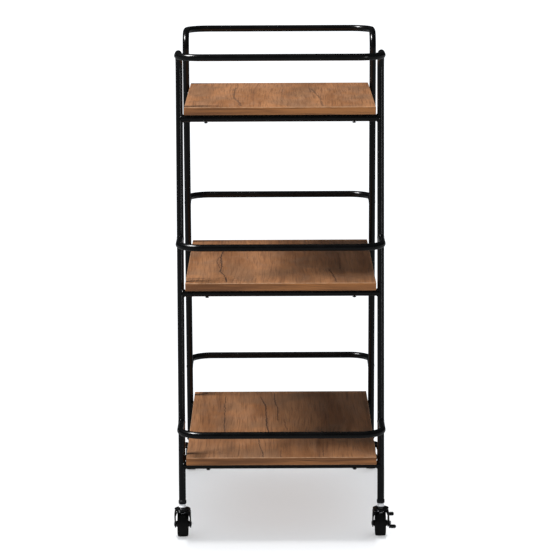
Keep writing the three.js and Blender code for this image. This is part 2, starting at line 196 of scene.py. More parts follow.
def weld_bead(end, outbound, bar, seed):
    """A rippled fillet of weld metal round the end of a tube where it meets a bar."""
    u = outbound.orthogonal().normalized()
    v = outbound.cross(u)
    back = -outbound * 3 * TUBE_RADIUS
    line = []
    for spoke in circle(Vector(), u, v, 1, BEAD_STEPS):
        start = end + back + spoke * TUBE_RADIUS
        line.append((start + outbound * along_to_post(start, outbound, *bar, TUBE_RADIUS), spoke))
    rings = []
    for k, (point, spoke) in enumerate(line):
        tangent = (line[(k + 1) % BEAD_STEPS][0] - line[k - 1][0]).normalized()
        side = tangent.cross(spoke).normalized()
        wobble = noise.noise(Vector((k * 0.23, seed, 0)))
        ripple = abs(math.sin(math.pi * BEAD_RIPPLES * k / BEAD_STEPS))
        # The fillet is full above and below the tube, and thin at its sides.
        seat = 0.25 + 0.75 * abs(spoke.dot(bar[1]))
        radius = BEAD_RADIUS * seat * (0.82 + 0.16 * ripple + 0.16 * wobble)
        rings.append(circle(point, spoke, side, radius, BEAD_SIDES))
    return rings_to_shell(rings, closed=True)


def welded_tube(path, bars, seed):
    """A tube trimmed to a bar (foot, axis) at each end, with a bead of weld there."""
    rings = tube_rings(path, TUBE_RADIUS, TUBE_SIDES)
    beads = []
    for last, inner, bar in ((0, 1, bars[0]), (-1, -2, bars[1])):
        end, ring = path[last], rings[last]
        outbound = (end - path[inner]).normalized()
        back = -outbound * 3 * TUBE_RADIUS
        for i, point in enumerate(ring):
            reach = along_to_post(point + back, outbound, *bar, TUBE_RADIUS - WELD_SINK)
            ring[i] = point + back + outbound * reach
        beads.append((weld_bead(end, outbound, bar, seed + end.x), 1))
    return [(rings_to_shell(rings), 0), *beads]


def skin(loops, sides):
    """Faces between loops of point numbers. A loop of one point closes the skin there."""
    faces = []
    for a, b in zip(loops, loops[1:]):
        for i in range(sides):
            j = (i + 1) % sides
            face = [a[i % len(a)], a[j % len(a)], b[j % len(b)], b[i % len(b)]]
            faces.append(list(dict.fromkeys(face)))
    return faces


def lathe(profile, sides):
    """(radius, height) pairs turned about Z. A radius of 0 is one point on the axis."""
    points, loops = [], []
    for radius, height in profile:
        if radius < 1e-9:
            loops.append([len(points)])
            points.append(Vector((0, 0, height)))
            continue
        loops.append(list(range(len(points), len(points) + sides)))
        points += circle(Vector((0, 0, height)), X_AXIS, Y_AXIS, radius, sides)
    return points, skin(loops, sides)


def rounded(corners):
    """A profile from (radius, height, rounding) corners, in millimetres, each an arc."""
    profile = [Vector(corners[0][:2])]
    for before, corner, after in zip(corners, corners[1:], corners[2:]):
        here = Vector(corner[:2])
        if corner[2] <= 0:
            profile.append(here)
            continue
        inbound = Vector(before[:2]) - here
        outbound = Vector(after[:2]) - here
        cut = min(corner[2], inbound.length * 0.49, outbound.length * 0.49)
        start = here + inbound.normalized() * cut
        end = here + outbound.normalized() * cut
        for i in range(PROFILE_STEPS + 1):
            t = i / PROFILE_STEPS
            profile.append(start * (1 - t) ** 2 + here * 2 * t * (1 - t) + end * t * t)
    profile.append(Vector(corners[-1][:2]))
    return [(point.x * MM, point.y * MM) for point in profile]


def closed_lathe(corners, sides):
    """A ring-shaped shell: its profile closes on itself and never touches the axis."""
    ring = rounded([corners[-1], *corners, corners[0]])[1:-1]
    points, faces = lathe([*ring, ring[0]], sides)
    count = len(ring) * sides
    return points[:count], [[i % count for i in face] for face in faces]


def rounded_block(size, place, power, around=28, layers=14):
    """A soft-cornered bar along X: a superellipse section that closes at rounded ends."""
    half = Vector(size) / 2
    rings = []
    for layer in range(layers + 1):
        t = -1 + 2 * layer / layers
        t = math.copysign(abs(t) ** 0.45, t) * 0.999
        shrink = (1 - abs(t) ** power) ** (1 / power)
        ring = []
        for i in range(around):
            angle = 2 * math.pi * i / around
            c, s = math.cos(angle), math.sin(angle)
            y = math.copysign(abs(c) ** (2 / power), c) * half.y * shrink
            z = math.copysign(abs(s) ** (2 / power), s) * half.z * shrink
            ring.append(Vector(place) + Vector((t * half.x, y, z)))
        rings.append([point * MM for point in ring])
    return rings_to_shell(rings)


def make_piece(node, body, shells, finishes, bevel=0.0):
    """One object that stands for one CAD node. shells are (shell, finish index) pairs."""
    name = f"{node}_fine"
    points, faces = joined([shell for shell, _ in shells])
    mesh = bpy.data.meshes.new(name)
    mesh.from_pydata(points, [], faces)
    finish_of_face = [finish for (_, shell_faces), finish in shells for _ in shell_faces]
    mesh.polygons.foreach_set("material_index", finish_of_face)
    cleaned = bmesh.new()
    cleaned.from_mesh(mesh)
    bmesh.ops.recalc_face_normals(cleaned, faces=cleaned.faces)
    cleaned.to_mesh(mesh)
    cleaned.free()
    for finish in finishes:
        mesh.materials.append(finish)
    mesh.shade_smooth()
    mesh.set_sharp_from_angle(angle=SHARP_ANGLE)
    piece = in_scene(name, mesh)
    if bevel:
        rounding = piece.modifiers.new("rounding", "BEVEL")
        rounding.width = bevel
        rounding.segments = 3
        rounding.limit_method = "ANGLE"
        rounding.angle_limit = BEVEL_ANGLE
    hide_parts(node)
    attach(piece, body)


# ---------- finishes ----------

def add_node(tree, kind, inputs=(), **settings):
    made = tree.nodes.new(f"ShaderNode{kind}")
    for key, value in settings.items():
        setattr(made, key, value)
    for key, value in dict(inputs).items():
        if isinstance(value, bpy.types.NodeSocket):
            tree.links.new(value, made.inputs[key])
        else:
            made.inputs[key].default_value = value
    return made


class Finish:
    """A Principled material and short names for the nodes that feed it."""

    def __init__(self, name, **sockets):
        self.material = bpy.data.materials.new(name)
        self.material.use_nodes = True
        self.tree = self.material.node_tree
        self.shader = self.tree.nodes["Principled BSDF"]
        for socket, value in sockets.items():
            self.shader.inputs[socket.replace("_", " ")].default_value = value
        self.place = self.node("TexCoord")

    def node(self, kind, inputs=(), **settings):
        return add_node(self.tree, kind, inputs, **settings)

    def math(self, operation, a, b=0.0, clamp=False):
        made = self.node("Math", {0: a, 1: b}, operation=operation, use_clamp=clamp)
        return made.outputs[0]

    def times(self, a, b):
        return self.math("MULTIPLY", a, b)

    def minus(self, a, b):
        return self.math("SUBTRACT", a, b)

    def size(self, a):
        return self.math("ABSOLUTE", a)

    def span(self, value, low, high, to_low=0.0, to_high=1.0):
        made = self.node(
            "MapRange",
            {"Value": value, "From Min": low, "From Max": high, "To Min": to_low, "To Max": to_high},
            interpolation_type="SMOOTHSTEP",
        )
        return made.outputs[0]

    def vector(self, operation, a, b):
        return self.node("VectorMath", {0: a, 1: b}, operation=operation).outputs[0]

    def scaled(self, vector, scale):
        return self.node("Mapping", {"Vector": vector, "Scale": scale}).outputs[0]

    def noise(self, vector, scale=1.0, detail=3.0, rough=0.5, distortion=0.0):
        inputs = {"Vector": vector, "Scale": scale, "Detail": detail}
        inputs.update({"Roughness": rough, "Distortion": distortion})
        return self.node("TexNoise", inputs).outputs["Fac"]

    def streaks(self, vector, stretch, detail, rough=0.5, distortion=0.0):
        return self.noise(self.scaled(vector, stretch), 1.0, detail, rough, distortion)

    def greatest(self, masks):
        found = masks[0]
        for mask in masks[1:]:
            found = self.math("MAXIMUM", found, mask)
        return found

    def mix(self, amount, a, b, blend="MIX"):
        a, b = (colour if isinstance(colour, bpy.types.NodeSocket) else (*colour, 1) for colour in (a, b))
        made = self.node("Mix", {0: amount, 6: a, 7: b}, data_type="RGBA", blend_type=blend)
        return made.outputs[2]

    def bump(self, height, distance, strength):
        inputs = {"Height": height, "Distance": distance, "Strength": strength}
        return self.node("Bump", inputs).outputs[0]

    def feed(self, socket, value):
        self.tree.links.new(value, self.shader.inputs[socket])


def drifting(f, drift, wear, colour, deeper, paler, amount, rough, dulling):
    """Feeds a colour and a roughness that drift over the surface and change where it is worn."""
    base = f.mix(f.span(drift, 0.3, 0.7), colour, [c * deeper for c in colour])
    f.feed("Base Color", f.mix(f.times(wear, amount), base, [c * paler for c in colour]))
    shine = f.span(drift, 0.3, 0.7, *rough)
    f.feed("Roughness", f.math("ADD", shine, f.times(wear, dulling), clamp=True))


def powder_coat(name, colour, rough, peel, peel_depth):
    """Sprayed and baked coat: a fine orange peel, faint cloudiness and rubbed high spots."""
    f = Finish(name, Metallic=0.0, Specular_IOR_Level=0.36, Coat_Weight=0.06, Coat_Roughness=0.12)
    place = f.place.outputs["Object"]
    cloud = f.noise(place, 38, 4, 0.6)
    scuff = f.noise(f.scaled(place, (1, 1, 0.35)), 420, 5, 0.7, 0.4)
    scuffed = f.span(scuff, 0.66, 0.74)
    drifting(f, cloud, scuffed, colour, 1.35, 2.5, 0.30, (rough - 0.03, rough + 0.04), 0.10)
    f.feed("Normal", f.bump(f.noise(place, peel, 2, 0.5), peel_depth, 0.3))
    return f.material


def moulded_plastic(name, colour, rough):
    """Injection-moulded plastic: fine spark texture, faint flow marks, scuffed patches."""
    f = Finish(name, Specular_IOR_Level=0.45)
    place = f.place.outputs["Object"]
    flow = f.noise(f.scaled(place, (1, 1, 3)), 55, 4, 0.6, 0.6)
    scuffed = f.span(f.noise(place, 260, 5, 0.7), 0.60, 0.72)
    drifting(f, flow, scuffed, colour, 1.4, 3.0, 0.35, (rough - 0.05, rough + 0.06), 0.12)
    spark = f.noise(place, 2600, 2, 0.6)
    f.feed("Normal", f.bump(spark, 0.04 * MM, 0.6))
    return f.material


def tread_rubber():
    """Hard tread: matt, with circular running marks and a film of dust in them."""
    f = Finish("tread_rubber", Specular_IOR_Level=0.22)
    place = f.place.outputs["Object"]
    running = f.streaks(place, (2600, 30, 30), 3, 0.6)
    dust = f.span(f.noise(place, 180, 5, 0.65), 0.50, 0.70)
    base = f.mix(f.span(running, 0.35, 0.65), (0.0028, 0.0028, 0.0028), (0.0052, 0.0052, 0.0050))
    base = f.mix(f.times(dust, 0.25), base, (0.014, 0.013, 0.012))
    f.feed("Base Color", base)
    f.feed("Roughness", f.span(dust, 0.0, 1.0, 0.55, 0.78))
    f.feed("Normal", f.bump(running, 0.06 * MM, 0.5))
    return f.material


def plated_steel(name, colour, rough, turning, metallic):
    """Plated steel: turning marks round the part, with faint tarnish."""
    f = Finish(name, Metallic=metallic)
    place = f.place.outputs["Object"]
    marks = f.streaks(place, turning, 2)
    tarnish = f.span(f.noise(place, 210, 4, 0.65), 0.48, 0.72)
    drifting(f, marks, tarnish, colour, 1.0, 0.72, 0.4, (rough - 0.04, rough + 0.06), 0.12)
    f.feed("Normal", f.bump(marks, 0.03 * MM, 0.4))
    return f.material


# Splits in the walnut print of each board: the width in millimetres, the depth of tone, then
# the line itself as millimetres right of the board's middle and behind its front edge.
SPLITS = {
    "top": [
        (3.4, 0.55, [(-86, 350), (-89, 300), (-90, 215), (-89, 160), (-85, 125), (-78, 84), (-74, 15)]),
        (3.3, 0.55, [(62, 330), (66, 283), (70, 233), (76, 183), (79, 115), (80, 15)]),
        (2.2, 0.35, [(59, 345), (61, 300), (62, 250)]),
        (2.2, 0.35, [(-98, 415), (-97, 370), (-98, 325)]),
        (2.0, 0.32, [(117, 400), (118, 360), (115, 315)]),
        (2.0, 0.28, [(6, 330), (4, 195), (5, 90)]),
        (2.0, 0.25, [(-118, 370), (-115, 275)]),
    ],
    "middle": [
        (2.3, 0.85, [
            (-114, 380), (-116, 346), (-119, 293), (-115, 190), (-117, 127), (-108, 86), (-102, 10),
        ]),
        (1.8, 0.60, [(-120, 310), (-123, 285), (-126, 238), (-118, 160)]),
        (2.2, 0.70, [(92, 160), (96, 129), (102, 80), (106, 8)]),
        (2.6, 0.35, [(116, 350), (118, 250), (116, 150)]),
        (1.8, 0.30, [(-66, 365), (-65, 270)]),
        (1.8, 0.30, [(30, 350), (31, 290), (30, 215)]),
    ],
    "bottom": [
        (1.5, 0.80, [(-115, 545), (-115, 401), (-113, 263), (-110, 195)]),
        (2.0, 0.85, [(-43, 535), (-37, 482), (-31, 440), (-30, 369), (-29, 271), (-24, 200)]),
        (1.9, 0.75, [(-45, 160), (-42, 94), (-36, 41), (-35, 0)]),
        (1.9, 0.75, [(-12, 570), (-13, 502), (-10, 449), (-6, 419), (-7, 305)]),
        (2.4, 0.50, [(6, 330), (8, 270), (12, 215)]),
        (2.0, 0.50, [(-1, 66), (-2, 0)]),
        (2.0, 0.45, [(81, 90), (80, 5)]),
        (1.8, 0.35, [(-82, 70), (-81, 8)]),
        (1.8, 0.35, [(-130, 70), (-129, 2)]),
    ],
}
# Dark streaks that run across the grain from each board's left edge: how far right they reach,
# how far behind the front edge they start and end, half their width, and their depth of tone.
CROSS_STREAKS = {
    "top": [(-100, 30, 34, 5.0, 0.60), (-132, 88, 104, 9.0, 0.30)],
    "middle": [(-116, 45, 64, 4.0, 0.75), (-125, 52, 66, 9.0, 0.25)],
    "bottom": [(-146, 38, 52, 3.2, 0.50), (-130, 545, 546, 12.0, 0.28)],
}
SPLIT_RANGE = 0.6            # metres of board that a split's curve covers
STREAK_START = -181          # the board's left edge, in millimetres from its middle
# Painted light and shade: each board's print is scaled by its tier. The top board is painted lighter, and the
# lower boards, which lie under the shelves above, are painted darker.
BOARD_PAINTED_LIGHT_LEVEL = {"top": 1.07, "middle": 0.90, "bottom": 0.82}


def walnut(tier):
    """Rustic walnut laminate: streaked grain along the board, splits, a painted highlight along the top
    arrises, and painted light and shade by tier.
    """
    low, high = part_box(f"{tier}_shelf_board")
    middle = (low + high) / 2
    f = Finish(f"walnut_{tier}", Specular_IOR_Level=0.38)
    own = f.vector("SUBTRACT", f.place.outputs["Object"], (middle.x, low.y, high.z))
    axes = f.node("SeparateXYZ", {0: own}).outputs
    facing = f.node("SeparateXYZ", {0: f.place.outputs["Normal"]}).outputs
    on_end = f.math("GREATER_THAN", f.size(facing[1]), 0.75)
    on_side = f.math("GREATER_THAN", f.size(facing[0]), 0.75)
    on_edge = f.math("ADD", on_end, on_side, clamp=True)

    # Across the grain and along it, on the faces and on the edge band.
    across = f.node("Mix", {0: on_edge, 2: axes[0], 3: axes[2]}).outputs[0]
    along = f.node("Mix", {0: on_end, 2: axes[1], 3: axes[0]}).outputs[0]
    shift = 0.37 * (TIERS.index(tier) + 1)
    grain = f.node("CombineXYZ", {0: across, 1: along, 2: f.times(on_edge, shift)}).outputs[0]
    grain = f.vector("ADD", grain, (shift, shift * 2, 0))

    drift = f.streaks(grain, (9, 2.2, 9), 3, 0.55)
    sway = f.node("CombineXYZ", {0: f.times(drift, 0.030)}).outputs[0]
    bent = f.vector("ADD", grain, sway)
    tone = f.streaks(bent, (16, 2.4, 16), 4, 0.6)
    streak = f.streaks(bent, (95, 3.5, 95), 6, 0.62, 0.3)
    fibre = f.streaks(bent, (520, 9, 520), 4, 0.6)
    pore = f.streaks(bent, (1500, 48, 1500), 2, 0.5)
    cloud = f.streaks(grain, (22, 9, 22), 4, 0.65, 0.8)

    painted_light_level = BOARD_PAINTED_LIGHT_LEVEL[tier]
    colour = f.mix(f.span(tone, 0.38, 0.62), (0.235, 0.098, 0.040), (0.350, 0.158, 0.072))
    shade = f.streaks(grain, (10, 6, 10), 2, 0.5, 0.4)
    for mask, start, full, strength, tint in (
        (cloud, 0.44, 0.70, 0.55, (0.290, 0.150, 0.088)),
        (streak, 0.50, 0.30, 0.55, (0.140, 0.056, 0.024)),
        (shade, 0.48, 0.64, 0.45, (0.170, 0.098, 0.060)),
        (streak, 0.56, 0.74, 0.40, (0.430, 0.215, 0.105)),
        (fibre, 0.54, 0.34, 0.62, (0.105, 0.045, 0.021)),
        (pore, 0.40, 0.28, 0.45, (0.070, 0.030, 0.015)),
    ):
        colour = f.mix(f.span(mask, start, full, 0.0, strength), colour, tint)

    on_face = f.math("GREATER_THAN", facing[2], 0.5)
    colour = f.mix(f.times(streak_mask(f, tier, axes), on_face), colour, (0.055, 0.030, 0.020))
    split = f.times(split_mask(f, tier, axes), on_face)
    colour = f.mix(split, colour, (0.022, 0.010, 0.006))

    # The edge band is a redder print than the faces.
    band = f.mix(f.span(streak, 0.35, 0.65), (0.112, 0.038, 0.009), (0.262, 0.100, 0.026))
    band = f.mix(f.span(fibre, 0.50, 0.35, 0.0, 0.6), band, (0.062, 0.022, 0.006))
    # Painted light and shade: the faces take their tier's level, lighter on top and darker below.
    colour = f.mix(1.0, colour, (painted_light_level, painted_light_level, 0.93 * painted_light_level), "MULTIPLY")
    colour = f.mix(f.times(on_edge, 0.90), colour, band)

    # A painted highlight: the arrises round the top are painted paler, in patches.
    edge_x = f.minus((high.x - low.x) / 2, f.size(axes[0]))
    half_length = (high.y - low.y) / 2
    edge_y = f.minus(half_length, f.size(f.minus(axes[1], half_length)))
    to_side = f.math("MINIMUM", edge_x, edge_y)
    near = f.math("MAXIMUM", to_side, f.size(axes[2]))
    patchy = f.span(f.noise(own, 70, 4, 0.6), 0.35, 0.60, 0.30, 1.0)
    arris_highlight = f.times(f.span(near, 1.5 * MM, 0.7 * MM), patchy)
    colour = f.mix(f.times(arris_highlight, 0.60), colour, (0.40, 0.25, 0.15))

    # Plain brown balancing paper underneath.
    under = f.math("LESS_THAN", facing[2], -0.5)
    paper = f.mix(f.span(f.noise(own, 300, 3), 0.4, 0.6), (0.15, 0.080, 0.042), (0.19, 0.100, 0.055))
    colour = f.mix(under, colour, paper)
    f.feed("Base Color", colour)

    satin = f.span(streak, 0.30, 0.70, 0.52, 0.42)
    f.feed("Roughness", f.math("ADD", satin, f.times(split, 0.25), clamp=True))
    relief = f.minus(f.times(fibre, 0.35), f.times(split, 1.0))
    relief = f.math("ADD", relief, f.times(pore, 0.2))
    f.feed("Normal", f.bump(relief, 0.12 * MM, 0.55))
    return f.material


def split_mask(f, tier, axes):
    """Kinked dark splits along the grain, each one following its own line."""
    masks = []
    draw = random.Random(TIERS.index(tier) + 11)
    for width, depth, line in SPLITS[tier]:
        place = f.node("CombineXYZ", {0: draw.uniform(0, 50), 1: axes[1]}).outputs[0]
        curve = f.node("FloatCurve", {"Value": f.math("DIVIDE", axes[1], SPLIT_RANGE, clamp=True)})
        points = curve.mapping.curves[0].points
        spots = sorted((along * MM / SPLIT_RANGE, 0.5 + across * MM) for across, along in line)
        spots = [(0.0, spots[0][1])] * (spots[0][0] > 0) + spots + [(1.0, spots[-1][1])]
        for spot in spots[1:-1]:
            points.new(*spot)
        points[0].location = spots[0]
        points[len(points) - 1].location = spots[-1]
        for point in points:
            point.handle_type = "VECTOR"
        curve.mapping.update()
        jitter = f.times(f.minus(f.noise(place, 85, 3, 0.65), 0.5), 8.0 * MM)
        middle = f.math("ADD", f.minus(curve.outputs[0], 0.5), jitter)
        away = f.size(f.minus(axes[0], middle))
        opening = f.span(f.noise(place, 34, 3, 0.7), 0.36, 0.62, 0.55, 1.0)
        mask = f.span(f.math("DIVIDE", away, f.times(opening, width * MM)), 1.1, 0.35)
        start, end = line[-1][1] * MM, line[0][1] * MM
        tails = f.times(f.span(axes[1], start - 4 * MM, start + 10 * MM),
                       f.span(axes[1], end + 4 * MM, end - 26 * MM))
        masks.append(f.times(f.times(mask, tails), depth))
    return f.greatest(masks)


def streak_mask(f, tier, axes):
    """Soft dark streaks that start at the left edge and thin out towards the right."""
    masks = []
    for right, start, end, half, depth in CROSS_STREAKS[tier]:
        slope = (end - start) / (right - STREAK_START)
        place = f.node("CombineXYZ", {0: axes[0], 1: start * 0.1}).outputs[0]
        wander = f.times(f.minus(f.noise(place, 45, 3, 0.6), 0.5), half * MM * 1.6)
        inward = f.minus(axes[0], STREAK_START * MM)
        line = f.math("ADD", f.times(inward, slope), start * MM)
        away = f.size(f.minus(axes[1], f.math("ADD", wander, line)))
        thin = f.span(axes[0], STREAK_START * MM, right * MM, half * MM, 0.35 * half * MM)
        mask = f.span(f.math("DIVIDE", away, thin), 1.3, 0.3)
        masks.append(f.times(mask, f.span(axes[0], right * MM, (right - 35) * MM, 0.0, depth)))
    return f.greatest(masks)


TUBE_COAT = powder_coat("tube_coat", (0.0019, 0.0019, 0.0020), 0.22, 700, 0.03 * MM)
FORK_COAT = powder_coat("fork_coat", (0.0022, 0.0022, 0.0024), 0.22, 1400, 0.03 * MM)
WELD_COAT = powder_coat("weld_coat", (0.0024, 0.0024, 0.0026), 0.22, 1500, 0.04 * MM)
SCREW_OXIDE = powder_coat("screw_oxide", (0.0055, 0.0055, 0.0060), 0.34, 2600, 0.03 * MM)
HUB_PLASTIC = moulded_plastic("hub_plastic", (0.0050, 0.0050, 0.0054), 0.38)
BRAKE_PLASTIC = moulded_plastic("brake_plastic", (0.0045, 0.0045, 0.0050), 0.32)
TREAD = tread_rubber()
# Painted reflection: the stems' plating is mostly matt and pale, so it shows bright under the lamps, as if it
# mirrored white surroundings.
ZINC_PAINTED_REFLECTION = plated_steel("zinc_painted_reflection", (0.86, 0.86, 0.87), 0.28, (60, 60, 5200), 0.25)
DARK_ZINC = plated_steel("dark_zinc", (0.30, 0.30, 0.31), 0.34, (5200, 60, 60), 0.45)
NYLON = moulded_plastic("lock_ring_nylon", (0.09, 0.10, 0.12), 0.42)


# ---------- end frames ----------

POST_BARS = [(Vector((x, post_y(0), 0)), Vector((0, LEAN, 1)).normalized()) for x in (POST_X, -POST_X)]


def hoop_shell():
    """Two posts and the top rail in one bent tube, open at the feet."""
    top = RAIL_Z[2]
    reach = post_y(top) - RAIL_REACH
    half = [(STEM.y, POST_END_Z), (STEM.y, FOOT_BEND_Z), (post_y(top), top), (reach, top)]
    corners = [Vector((POST_X, y, z)) for y, z in half]
    corners += [Vector((-POST_X, y, z)) for y, z in reversed(half)]
    bends = [POST_FOOT_BEND_RADIUS, POST_TOP_BEND_RADIUS, RAIL_CORNER_RADIUS]
    path = arc_path(corners, bends + bends[::-1])
    return rings_to_shell(tube_rings(path, TUBE_RADIUS, TUBE_SIDES))


def rail_shells(tier):
    z = RAIL_Z[tier]
    back = post_y(z)
    reach = back - RAIL_REACH
    plan = ((POST_X, back), (POST_X, reach), (-POST_X, reach), (-POST_X, back))
    corners = [Vector((x, y, z)) for x, y in plan]
    return welded_tube(arc_path(corners, [RAIL_CORNER_RADIUS] * 2), POST_BARS, 10 * tier)


def cross_tube_shells(tier):
    ends = [Vector((x, CROSS_Y[tier], CROSS_Z[tier])) for x in (POST_X, -POST_X)]
    return welded_tube(ends, POST_BARS, 20 * tier)


def screw_shells(tier):
    """A domed head with a cross recess, a shank and a point."""
    sides, rings = 48, 16
    radius, height, recess_arm, recess_half, recess_depth = 3.9, 2.9, 2.1, 0.42, 1.5
    points = [Vector((0, 0, -height + recess_depth))]
    loops = [[0]]
    for r in range(1, rings + 1):
        loops.append(list(range(len(points), len(points) + sides)))
        share = r / rings
        for i in range(sides):
            angle = 2 * math.pi * (i + 0.5) / sides
            x, y = radius * share * math.cos(angle), radius * share * math.sin(angle)
            arm, off = max(abs(x), abs(y)), min(abs(x), abs(y))
            inside = arm < recess_arm and off < recess_half
            z = -height * math.sqrt(max(0.0, 1 - (0.96 * share) ** 2.6))
            z += recess_depth * (1 - 0.35 * arm / recess_arm) if inside else 0
            points.append(Vector((x, y, z)))
    head = [point * MM for point in points], [*skin(loops, sides), loops[-1]]
    seat = CROSS_Z[tier] - TUBE_RADIUS
    shank_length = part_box(f"{TIERS[tier]}_front_left_screw")[1].z / MM - seat / MM
    thread = [(0, -0.5, 0), (1.9, -0.5, 0), (1.9, shank_length - 3, 0), (0, shank_length, 0)]
    shank = lathe(rounded(thread), 16)
    return placed([(head, 0), (shank, 0)], Matrix.Translation((0, 0, seat)))


# ---------- between the ends ----------

def stretcher_shells(tier, x):
    y, z = CROSS_Y[tier], CROSS_Z[tier]
    ends = [Vector((x, y, z)), Vector((x, -y, z))]
    return welded_tube(ends, [(Vector((0, end.y, z)), X_AXIS) for end in ends], 7 * tier)


ARRIS_RADIUS = 1.1 * MM
ARRIS_STEPS = 4
BOARD_CORNER_RADIUS = 2.0 * MM
BOARD_CORNER_STEPS = 6


def board_shell(tier_name):
    """A board with rounded arrises and corners, as a stack of rounded outlines."""
    low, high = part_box(f"{tier_name}_shelf_board")
    turns = [math.pi / 2 * i / ARRIS_STEPS for i in range(ARRIS_STEPS + 1)]
    levels = [(low.z + ARRIS_RADIUS * (1 - math.cos(a)), ARRIS_RADIUS * (1 - math.sin(a))) for a in turns]
    levels += [(high.z - (z - low.z), inset) for z, inset in reversed(levels)]
    corner, middle, half = BOARD_CORNER_RADIUS, (low + high) / 2, (high - low) / 2
    rings = []
    for z, inset in levels:
        ring = []
        for k, (sx, sy) in enumerate(((1, 1), (-1, 1), (-1, -1), (1, -1))):
            x = middle.x + sx * (half.x - corner)
            y = middle.y + sy * (half.y - corner)
            for i in range(BOARD_CORNER_STEPS + 1):
                angle = math.pi / 2 * (k + i / BOARD_CORNER_STEPS)
                spoke = Vector((math.cos(angle), math.sin(angle), 0)) * (corner - inset)
                ring.append(Vector((x, y, z)) + spoke)
        rings.append(ring)
    return rings_to_shell(rings)


# ---------- casters, drawn in millimetres with the stem on the Z axis and the wheel towards +Y ----------

FORK_INSIDE = 13.65          # half the gap between the arms
FORK_SHEET = 2.0
FORK_OUTSIDE = FORK_INSIDE + FORK_SHEET
FORK_FRONT_Y = -13.5
FORK_REAR_Y = 15.0
FORK_TOP_Z = 57.0
FORK_BEND_RADIUS = 5.0
FORK_BOSS_RADIUS = 7.5
FORK_FRONT_SHOULDER_Z = 49   # where the arm's edges have come out to their full width
FORK_REAR_SHOULDER_Z = 46
LIP_START_Z = 40             # the rolled lips grow from here
LIP_GROWTH = 12
LIP_ROLL = 3.6
SLIT = 0.3                   # clearance between pieces that touch
LEVER_SPACE = 2.45           # from the fork to the nut of a braked axle
AXLE_MM = Vector((0, TRAIL / MM, AXLE.z / MM))
TO_AXLE = Matrix.Translation((0, TRAIL, AXLE.z))
ABOUT_AXLE = TO_AXLE @ Matrix.Rotation(math.pi / 2, 4, "Y")      # for parts turned about Z


def heights(node):
    """The bottom and the top of a CAD node, in millimetres."""
    return [corner.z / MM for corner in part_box(node)]


def sleeve_shells(corner):
    low, high = heights(f"{corner}_foot_sleeve")
    end = POST_END_Z / MM
    corners = [(3.8, low, 0.3), (6.9, low, 0.5), (7.5, low + 0.9, 0.5), (7.5, end - 1.0, 0.6)]
    corners += [(6.8, end - 0.1, 0.3), (4.7, end - 0.1, 0), (4.7, high, 0.6), (3.8, high, 0.3)]
    return [(closed_lathe(corners, 56), 0)]


def stem_shells(corner):
    """Rivet, pin, plated neck with its shoulder, and the shank with its spring ring."""
    low, high = heights(f"{corner}_caster_stem")
    neck_top = heights(f"{corner}_foot_sleeve")[0] - SLIT
    cap_top = heights(f"{corner}_caster_fork")[1]
    corners = [
        (0, low, 0), (4.6, low + 0.4, 1.2), (6.3, low + 2.2, 0.8), (6.3, low + 3.5, 0.3),
        (4.1, low + 3.5, 0), (4.1, cap_top + 0.3, 0), (7.4, cap_top + 0.3, 0.3),
        (7.2, cap_top + 1.0, 0.4), (6.1, cap_top + 2.2, 0.6), (5.8, neck_top - 1.2, 0.3),
        (5.0, neck_top, 0.3), (3.3, neck_top, 0), (3.3, high - 9, 0.2), (2.7, high - 8.6, 0),
        (2.7, high - 5.4, 0), (3.3, high - 5, 0.2), (3.3, high - 1.2, 0.5), (2.4, high, 0.3),
        (0, high, 0),
    ]
    ring = [(2.8, high - 8.2, 0.2), (3.7, high - 8.0, 0.6), (3.7, high - 6.0, 0.6), (2.8, high - 5.8, 0.2)]
    return [(lathe(rounded(corners), 56), 0), (closed_lathe(ring, 32), 0)]


def ease(t):
    t = min(max(t, 0.0), 1.0)
    return t * t * (3 - 2 * t)


def fork_edges(z):
    """The arm's front and rear edges at height z."""
    boss_z, boss_y, r = AXLE_MM.z, AXLE_MM.y, FORK_BOSS_RADIUS
    if z < boss_z:
        half = math.sqrt(max(r * r - (boss_z - z) ** 2, 0.01))
        return boss_y - half, boss_y + half
    rise = z - boss_z
    front_share = ease(rise / (FORK_FRONT_SHOULDER_Z - boss_z)) ** 0.9
    rear_share = ease(rise / (FORK_REAR_SHOULDER_Z - boss_z))
    front = boss_y - r + (FORK_FRONT_Y - boss_y + r) * front_share
    return front, boss_y + r + (FORK_REAR_Y - boss_y - r) * rear_share


def fork_sheet():
    """The stamped fork: one sheet bent over the wheel, its front and rear lips rolled inwards."""
    half = FORK_INSIDE + FORK_SHEET / 2
    top = FORK_TOP_Z - FORK_SHEET / 2
    bottom = AXLE_MM.z - FORK_BOSS_RADIUS
    turns = [(math.cos(math.pi / 16 * i), math.sin(math.pi / 16 * i)) for i in range(9)]
    side = [(half, AXLE_MM.z - FORK_BOSS_RADIUS * c, 1, 0) for c, _ in turns]
    rise = top - FORK_BEND_RADIUS - AXLE_MM.z
    side += [(half, AXLE_MM.z + rise * i / 14, 1, 0) for i in range(1, 15)]
    flat = half - FORK_BEND_RADIUS
    side += [(flat + FORK_BEND_RADIUS * c, top - FORK_BEND_RADIUS * (1 - s), c, s) for c, s in turns[1:8]]
    over = [(flat - 2 * flat * i / 12, top, 0, 1) for i in range(13)]
    line = side + over + [(-x, z, -nx, nz) for x, z, nx, nz in reversed(side)]
    rings = []
    for x, z, nx, nz in line:
        front, rear = fork_edges(max(z, bottom + 0.01))
        roll = ease((z - LIP_START_Z) / LIP_GROWTH) * LIP_ROLL
        strip = []
        for k in range(17):
            t = 0.5 - 0.5 * math.cos(math.pi * k / 16)
            y = front + (rear - front) * t
            lip = 0.0
            for edge, sign in ((front, 1), (rear, -1)):
                near = 1 - (y - edge) * sign / max(roll, 0.01)
                if near > 0 and roll > 0.05:
                    lip = roll * (1 - math.sqrt(max(0.0, 1 - min(near, 1) ** 2)))
            strip.append(Vector((x - nx * lip, y, z - nz * lip)) * MM)
        rings.append(strip)
    return rings


